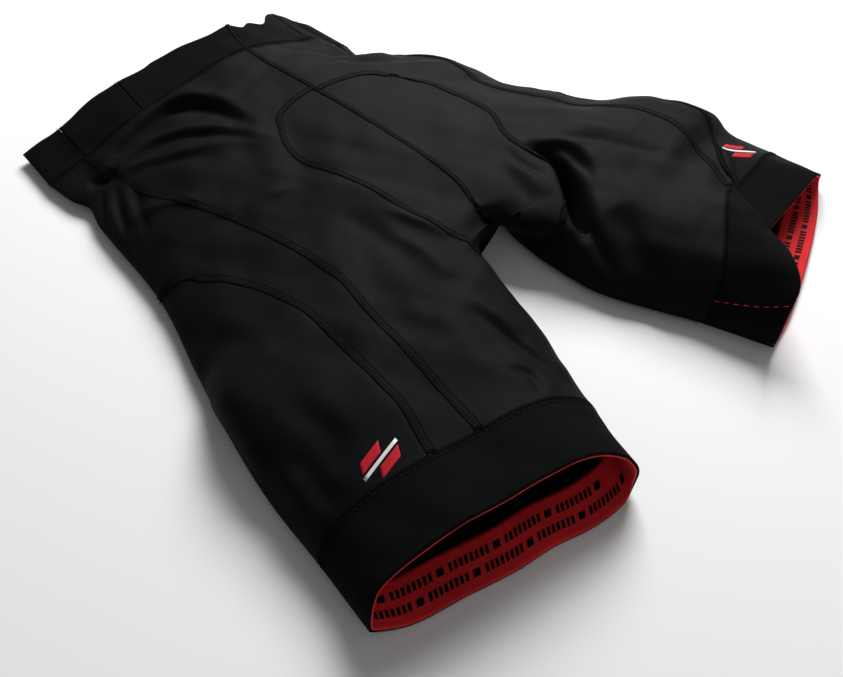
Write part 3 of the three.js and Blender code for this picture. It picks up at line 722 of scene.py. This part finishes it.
def stitch_bars(centres, out, direction, length, radius, lift):
    """Short threads lying on the cloth, each a low arc that dives in at both ends."""
    arcs = ((-0.5, -0.9), (-0.32, 0.7), (0.32, 0.7), (0.5, -0.9))
    side = np.cross(out, direction)
    vertices, faces = [], []
    for k in range(len(centres)):
        base = len(vertices)
        for place, height in arcs:
            middle = centres[k] + direction[k] * (place * length) + out[k] * (lift + height * radius)
            vertices += [middle + side[k] * radius, middle + out[k] * radius,
                         middle - side[k] * radius, middle - out[k] * radius]
        for ring in range(3):
            a = base + ring * 4
            faces += [[a + j, a + (j + 1) % 4, a + 4 + (j + 1) % 4, a + 4 + j] for j in range(4)]
        faces += [[base + 3, base + 2, base + 1, base], [base + 12, base + 13, base + 14, base + 15]]
    return np.array(vertices), faces


def slab_faces(rows, columns):
    """Faces of a closed slab whose two layers are grids of points, one after the other."""
    count = rows * columns
    faces = []
    for r in range(rows - 1):
        for c in range(columns - 1):
            a = r * columns + c
            quad = [a, a + columns, a + columns + 1, a + 1]
            faces += [quad, [v + count for v in quad[::-1]]]
    rim = list(range(columns)) + [r * columns + columns - 1 for r in range(1, rows)]
    rim += [(rows - 1) * columns + c for c in range(columns - 2, -1, -1)]
    rim += [r * columns for r in range(rows - 2, 0, -1)]
    return faces + [[a, b, b + count, a + count] for a, b in zip(rim, rim[1:] + rim[:1])]


def merge(parts):
    vertices, faces, offset = [], [], 0
    for points, polygons in parts:
        vertices.append(points)
        faces += [[i + offset for i in face] for face in polygons]
        offset += len(points)
    return np.vstack(vertices), faces


def stitched(name, parts, replaced):
    vertices, faces = merge(parts)
    piece = make_object(name, vertices, faces, THREAD)
    if replaced:
        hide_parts(*replaced)
    return piece


# The section of a seam's tape: share of half its width, height.
TAPE = ((-1, -0.5), (1, -0.5), (1, 0.06), (0.7, 0.34), (0, 0.26), (-0.7, 0.34), (-1, 0.06))
TAPE_PITCH = 1.9
COVER_WIDTH, COVER_PITCH = 4.0, 2.2


def flatlock(name, points, normals, replaced, width=SEAM_WIDTH):
    """A flat overlapped seam: a raised tape with a thread along each edge and a ladder of stitches."""
    line, out, ahead, side = resampled(points, normals, TAPE_PITCH)
    slant = unit(side * 0.94 + ahead * 0.34)
    parts = [ribbon(line, out, side, [(width / 2 * a, h) for a, h in TAPE]),
             stitch_bars(line, out, slant, width * 0.8, 0.16, 0.28)]
    cloth_faces = sum(len(polygons) for _, polygons in parts)
    for edge in (-0.42, 0.42):
        parts.append(stitch_bars(line + side * (edge * width), out, ahead, TAPE_PITCH * 0.92, 0.3, 0.22))
    mesh = stitched(name, parts, replaced).data
    mesh.materials.append(NEEDLE_THREAD)
    second = [int(k >= cloth_faces) for k in range(len(mesh.polygons))]
    mesh.polygons.foreach_set("material_index", second)


def cover_stitch(name, points, normals, replaced=()):
    """Two rows of needle thread with a fine zigzag between, as on the bands."""
    line, out, ahead, side = resampled(points, normals, COVER_PITCH)
    swing = np.where(np.arange(len(line)) % 2 == 0, 1.0, -1.0)[:, None]
    slant = unit(side * 0.8 + ahead * 0.6 * swing)
    parts = [stitch_bars(line, out, slant, COVER_WIDTH, 0.13, 0.1)]
    for edge in (-0.5, 0.5):
        row = line + side * edge * COVER_WIDTH
        parts.append(stitch_bars(row, out, ahead, COVER_PITCH * 0.8, 0.22, 0.1))
    stitched(name, parts, replaced)


ARCH_SEAM_END = 0.75  # share of the arch that the seam over it covers


def seams(grid):
    row, col, name = grid.row, grid.column, grid.name
    top, leg = row[WAIST_SEAM], row[LEG_SEAM]

    def route(places):
        rows, columns = zip(*places)
        return grid.points[rows, columns], grid.normals[rows, columns]

    def sew(stitch, seam, places, **more):
        stitch(f"{seam}_thread_{name}", *route(places), [f"{seam}_{name}"], **more)

    sew(flatlock, "seam_front", [(r, col["front"]) for r in range(top, leg)])
    arch_start = col["arch"] + int((col["arch_back"] - col["arch"]) * ARCH_SEAM_END)
    arch = [(row["arch"], c) for c in range(arch_start, col["arch"], -1)]
    sew(flatlock, "seam_arch", arch + [(r, col["arch"]) for r in range(row["arch"], leg)])
    gusset = [(row["gusset"], c) for c in range(0, col["gusset"] - 2)]
    gusset += [(r, col["gusset"]) for r in range(row["gusset"] + 3, row[GUSSET_END] - 2)]
    sew(flatlock, "seam_gusset", gusset, width=5.0)
    front = range(0, col["arch_back"])
    sew(cover_stitch, "seam_waistband", [(top, c) for c in front])
    sew(cover_stitch, "seam_leg_band", [(leg, c) for c in front])
    sew(cover_stitch, "inseam", [(r, 0) for r in range(row[GUSSET_END] + 1, leg)])
    inner_points, inner_normals = route([(r, col["back"]) for r in range(top, leg)])
    flatlock(f"seam_back_thread_{name}", inner_points - inner_normals * FABRIC, -inner_normals,
             [f"seam_back_{name}"])
    for place, column in (("front", col["gusset"] + BAND_JOIN), ("side", col["front"])):
        cover_stitch(f"waistband_join_{place}_{name}", *route([(r, column) for r in range(0, top)]))


for grid in grids.values():
    seams(grid)
right, left = grids["right"], grids["left"]
nose = right.row[CROTCH]
flatlock("seam_centre_front_thread", right.points[: nose - 5, 0], right.normals[: nose - 5, 0],
         ["seam_centre_front"], width=3.6)
flatlock("seam_centre_back_thread", right.points[:nose, -1] + [0, 0, FABRIC], -right.normals[:nose, -1],
         ["seam_centre_back"])

# ---- Seat pad

PAD_THICKNESS, PAD_EDGE = 5.0, 1.2  # the front pad in its middle and at its edges
PAD_GAP = 0.8         # between the gusset and the pad
PAD_SLOPES = (7, 5)   # how fast it thickens from its ends and from its outer edge
PAD_CHANNEL = 7       # grid columns between its sewn channels
CHANNEL_DEPTH, CHANNEL_WIDTH = 0.45, 0.9
PAD_VOXEL = 2.5
SWELL_FRAMES = 16
PAD_CENTRE = -10.0
GROOVE_AT, GROOVE_WIDTH, GROOVE_DEPTH = 0.016, 0.0022, 0.0016  # the rear pad's, in metres


def front_pad(grid):
    """The pad inside the gusset: closed, thin at its edges, with channels sewn down its length."""
    row, col = grid.row, grid.column
    r0, r1, c1 = row["gusset"] + 4, row[CROTCH] - 8, col["gusset"] - 5
    points, normals = grid.points[r0:r1, :c1], grid.normals[r0:r1, :c1]
    rows, columns = points.shape[:2]
    down = np.linspace(0, 1, rows)[:, None]
    across = np.linspace(0, 1, columns)[None]
    ends, edge = PAD_SLOPES
    crown = np.minimum(1, ends * down) * np.minimum(1, ends * (1 - down))
    crown = crown * np.minimum(1, edge * (1 - across))
    from_channel = np.mod(np.arange(columns) + PAD_CHANNEL / 2, PAD_CHANNEL) - PAD_CHANNEL / 2
    channel = 1 - CHANNEL_DEPTH * np.exp(-((from_channel / CHANNEL_WIDTH) ** 2))
    thickness = PAD_EDGE + (PAD_THICKNESS - PAD_EDGE) * np.sqrt(crown) * channel[None]
    outer = points - normals * (FABRIC + PAD_GAP)
    inner = outer - normals * thickness[..., None]
    vertices = np.vstack([outer.reshape(-1, 3), inner.reshape(-1, 3)])
    uvs = np.vstack([grid.uvs[r0:r1, :c1].reshape(-1, 2)] * 2)
    piece = make_object(f"front_pad_{grid.name}", vertices, slab_faces(rows, columns), PAD, uvs)
    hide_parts(f"chamois_front_{grid.name}")


def swollen_pad(name, node, pressure, reach):
    """The CAD pad as a sewn cushion: remeshed, blown up by a short cloth simulation, then smoothed."""
    source = bpy.data.objects[node]
    mesh = bpy.data.meshes.new_from_object(source)
    mesh.transform(source.matrix_world)
    piece = add_object(name, mesh)
    remesh = piece.modifiers.new("remesh", "REMESH")
    remesh.mode, remesh.voxel_size = "VOXEL", PAD_VOXEL * MM
    apply_modifiers(piece)
    start = vertex_places(piece)
    cloth = piece.modifiers.new("swell", "CLOTH")
    cloth.settings.use_pressure = True
    cloth.settings.uniform_pressure_force = pressure
    cloth.settings.effector_weights.gravity = 0
    cloth.settings.quality = 4
    for step in range(1, SWELL_FRAMES + 1):
        bpy.context.scene.frame_set(step)
    apply_modifiers(piece)
    bpy.context.scene.frame_set(1)
    moved = vertex_places(piece) - start
    length = np.linalg.norm(moved, axis=1, keepdims=True)
    moved *= np.minimum(1, reach * MM / np.maximum(length, 1e-9))
    places = start + moved
    places[:, 2] = np.maximum(places[:, 2], start[:, 2].min())
    piece.data.vertices.foreach_set("co", places.ravel())
    relax = piece.modifiers.new("relax", "SMOOTH")
    relax.factor, relax.iterations = 0.5, 4
    apply_modifiers(piece)
    places = vertex_places(piece)
    groove = np.exp(-((np.abs(places[:, 0] - PAD_CENTRE * MM) - GROOVE_AT) / GROOVE_WIDTH) ** 2)
    places[:, 2] -= np.where(places[:, 2] > start[:, 2].mean(), groove * GROOVE_DEPTH, 0)
    piece.data.vertices.foreach_set("co", places.ravel())
    piece.data.materials.clear()
    piece.data.materials.append(PAD)
    set_uvs(piece.data, places[:, :2])
    piece.data.polygons.foreach_set("use_smooth", [True] * len(piece.data.polygons))
    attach(piece, "root")
    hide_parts(node)


def vertex_places(piece):
    places = np.empty(len(piece.data.vertices) * 3)
    piece.data.vertices.foreach_get("co", places)
    return places.reshape(-1, 3)


def apply_modifiers(piece):
    """Makes what the modifiers show the piece's own mesh."""
    graph = bpy.context.evaluated_depsgraph_get()
    finished = bpy.data.meshes.new_from_object(piece.evaluated_get(graph))
    piece.modifiers.clear()
    piece.data = finished


for grid in grids.values():
    front_pad(grid)
swollen_pad("rear_pad", "chamois_rear", 3.0, 1.5)
for side_name in SIDES:
    swollen_pad(f"sit_pad_cushion_{side_name}", f"sit_pad_{side_name}", 4.0, 2.0)

# ---- Care label, badges and printing

LABEL_LIFT, LABEL_CURL, LABEL_TURN = 0.4, 7.0, 2.4
LABEL_THICKNESS = 0.25
low, high = (np.array(corner) / MM + [*ORIGIN, 0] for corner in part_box("care_label"))
length = high[1] - low[1]
places = np.linspace(0, 1, 14)
bend = np.array([[(low[0] + high[0]) / 2, high[1] - length * u,
                  low[2] + LABEL_LIFT + LABEL_CURL * math.sin(u * LABEL_TURN) * u] for u in places])
side = np.repeat([[1.0, 0, 0]], len(bend), 0)
out = np.cross(unit(np.gradient(bend, axis=0)), side)
half = (high[0] - low[0]) / 2
section = [(-half, 0), (half, 0), (half, LABEL_THICKNESS), (-half, LABEL_THICKNESS)]
label = make_object("care_label_cloth", *ribbon(bend, out, side, section), LABEL)
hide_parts("care_label")


PRINTED_POINTS = 9  # along each edge of a printed shape
PRINTED_GAP = 0.05


class Drop:
    """Finds the height and slope of the front of one side at places given in plan."""

    def __init__(self, grid):
        last = grid.column["arch"] + 20
        rows, columns = grid.points[:, :last].shape[:2]
        quads = [[a, a + columns, a + columns + 1, a + 1]
                 for r in range(rows - 1) for a in range(r * columns, r * columns + columns - 1)]
        self.tree = BVHTree.FromPolygons(grid.points[:, :last].reshape(-1, 3).tolist(), quads)

    def at(self, x, y):
        place, normal, _, _ = self.tree.ray_cast(Vector((x, y, 200)), Vector((0, 0, -1)))
        return np.array(place), np.array(normal) * (1 if normal.z > 0 else -1)


def printed_shape(drop, centre, turn, outline, thickness):
    """A flat printed shape that follows the cloth. The outline is four corners."""
    u = np.linspace(0, 1, PRINTED_POINTS)
    shares = np.array([[(1 - a) * (1 - b), a * (1 - b), a * b, (1 - a) * b] for b in u for a in u])
    spin = np.array([[math.cos(turn), -math.sin(turn)], [math.sin(turn), math.cos(turn)]])
    lower, upper = [], []
    for x, y in shares @ np.array(outline, float) @ spin.T + centre:
        place, normal = drop.at(x, y)
        lower.append(place + normal * PRINTED_GAP)
        upper.append(place + normal * thickness)
    return np.array(lower + upper), slab_faces(PRINTED_POINTS, PRINTED_POINTS)


# The badge: two red arrow feathers and a white bar between them, lengths in millimetres.
BADGE = (
    ("red", BADGE_RED, [[(-13, 2.6), (4, 2.6), (9, 8.4), (-8, 8.4)],
                        [(-9, -8.4), (8, -8.4), (13, -2.6), (-4, -2.6)]]),
    ("white", BADGE_WHITE, [[(-15, -1.1), (15, -1.1), (15.6, 1.1), (-14.4, 1.1)]]),
)
BADGE_TURN = {"right": math.radians(12), "left": math.radians(-38)}
BADGE_THICKNESS = 0.3
for grid in grids.values():
    drop = Drop(grid)
    for colour, material, outlines in BADGE:
        vertices, faces = merge(
            [printed_shape(drop, grid.side["badge"], BADGE_TURN[grid.name], outline, BADGE_THICKNESS)
             for outline in outlines])
        badge = make_object(f"badge_{colour}_{grid.name}", vertices, faces, material)
        if colour == "red":
            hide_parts(f"badge_{grid.name}")


def on_grid(grid, row, column):
    """The point and normal at a place between the grid's rows and columns."""
    r, c = int(min(row, grid.s.shape[0] - 1.001)), int(min(column, grid.s.shape[1] - 1.001))
    u, v = row - r, column - c
    weights = np.outer([1 - u, u], [1 - v, v])[..., None]
    return [(weights * table[r:r + 2, c:c + 2]).sum((0, 1)) for table in (grid.points, grid.normals)]


# The bars and dots: how many, their places and widths along the leg, and the share of the gripper's
# rows that each reaches up and down.
PRINT_BARS, PRINT_PITCH, PRINT_SLANT = 8, 3.4, 1.6
PRINT_BAR, PRINT_DOT = (2.0, 0.085), (4.6, 0.075)
PRINT_REPEAT = 37.0
PRINT_ROWS = ((0.34, 3.0), (0.68, 21.0))
PRINT_SUNK, PRINT_PROUD = 0.1, 0.25


def gripper_print(grid):
    """Two rows of plain silicone bars and dots on the inside of the gripper."""
    top, bottom = grid.row[GRIPPER_TOP], grid.row[HEM]
    middle = (top + bottom) // 2
    lengths = np.concatenate([[0], np.cumsum(grid.across[middle])])
    columns = np.arange(len(lengths))
    deep = BAND + LINING_GAP + GRIPPER
    parts = []
    for share, start in PRINT_ROWS:
        row = top + (bottom - top) * share
        while start < lengths[-1] - PRINT_REPEAT:
            marks = [(start + k * PRINT_PITCH, PRINT_BAR) for k in range(PRINT_BARS)]
            marks.append((start + (PRINT_BARS + 0.9) * PRINT_PITCH, PRINT_DOT))
            for place, (wide, tall) in marks:
                corners = []
                for down, sideways, slant in ((-1, -1, 0.5), (1, -1, -0.5), (1, 1, -0.5), (-1, 1, 0.5)):
                    at = place + wide / 2 * sideways + slant * PRINT_SLANT
                    column = np.interp(at, lengths, columns)
                    corners.append(on_grid(grid, row + down * (bottom - top) * tall, column))
                vertices = np.array([p - n * depth for depth in (deep - PRINT_SUNK, deep + PRINT_PROUD)
                                     for p, n in corners])
                faces = [[3, 2, 1, 0], [4, 5, 6, 7]]
                faces += [[k, (k + 1) % 4, (k + 1) % 4 + 4, k + 4] for k in range(4)]
                parts.append((vertices, faces))
            start += PRINT_REPEAT
    vertices, faces = merge(parts)
    piece = make_object(f"gripper_print_{grid.name}", vertices, faces, PRINT, smooth_faces=False)


for grid in grids.values():
    gripper_print(grid)

# Red tacking stitches where the far leg band is joined.
TACK_PITCH, TACK_LENGTH = 6.4, 3.4
tack_rows = slice(left.row[LEG_SEAM] + 1, left.row[HEM])
tack_column = left.column["gusset"] + 5
line, out, ahead, _ = resampled(left.points[tack_rows, tack_column], left.normals[tack_rows, tack_column],
                                TACK_PITCH)
tack, tack_faces = stitch_bars(line, out, ahead, TACK_LENGTH, 0.26, 0.15)
red_tack = make_object("band_tack_left", tack, tack_faces, RED_THREAD)

# ---- Floor, light and camera


def area_light(name, location, size, power):
    """A white lamp that looks at the origin."""
    data = bpy.data.lights.new(name, "AREA")
    data.shape = "RECTANGLE"
    data.size, data.size_y = size
    data.energy = power
    lamp = add_object(name, data)
    lamp.location = location
    lamp.rotation_euler = (-Vector(location)).to_track_quat("-Z", "Y").to_euler()


TABLE_REACH, TABLE_DROP = 4.0, 0.0006
CAMERA_PLACE = (-0.3499, -0.3478, 0.4602)
CAMERA_TURN = (44.7, 51.5, 2)  # degrees: azimuth, how far it looks down, roll
CAMERA_LENS = 36.3


def floor():
    mesh = bpy.data.meshes.new("floor")
    reach = TABLE_REACH
    mesh.from_pydata([(-reach, -reach, 0), (reach, -reach, 0), (reach, reach, 0), (-reach, reach, 0)], [],
                     [(0, 1, 2, 3)])
    mesh.materials.append(new_material("white_table", (0.93, 0.93, 0.93), 0.6, 0, 0.2)[0])
    table = add_object("floor", mesh)
    table.location.z = -TABLE_DROP


def camera():
    data = bpy.data.cameras.new("camera")
    data.sensor_width = 36
    data.lens = CAMERA_LENS
    data.clip_start, data.clip_end = 0.01, 20
    eye = add_object("camera", data)
    azimuth, elevation, roll = (math.radians(angle) for angle in CAMERA_TURN)
    ahead = Vector((math.sin(azimuth) * math.cos(elevation), math.cos(azimuth) * math.cos(elevation),
                    -math.sin(elevation)))
    level = ahead.cross(Vector((0, 0, 1))).normalized()
    above = level.cross(ahead)
    across = level * math.cos(roll) + above * math.sin(roll)
    up = above * math.cos(roll) - level * math.sin(roll)
    turn = Matrix((across, up, -ahead)).transposed().to_4x4()
    eye.matrix_world = Matrix.Translation(CAMERA_PLACE) @ turn
    bpy.context.scene.camera = eye


floor()
camera()
area_light("window", (1.2, 0.85, 1.2), (1.1, 0.9), 60)
area_light("fill", (-0.4, -1.7, 0.6), (1.2, 0.6), 3.6)
world = bpy.data.worlds.new("studio")
world.use_nodes = True
world.node_tree.nodes["Background"].inputs[0].default_value = (1, 1, 1, 1)
world.node_tree.nodes["Background"].inputs[1].default_value = 0.13
bpy.context.scene.world = world
bpy.context.scene.view_settings.view_transform = "Standard"
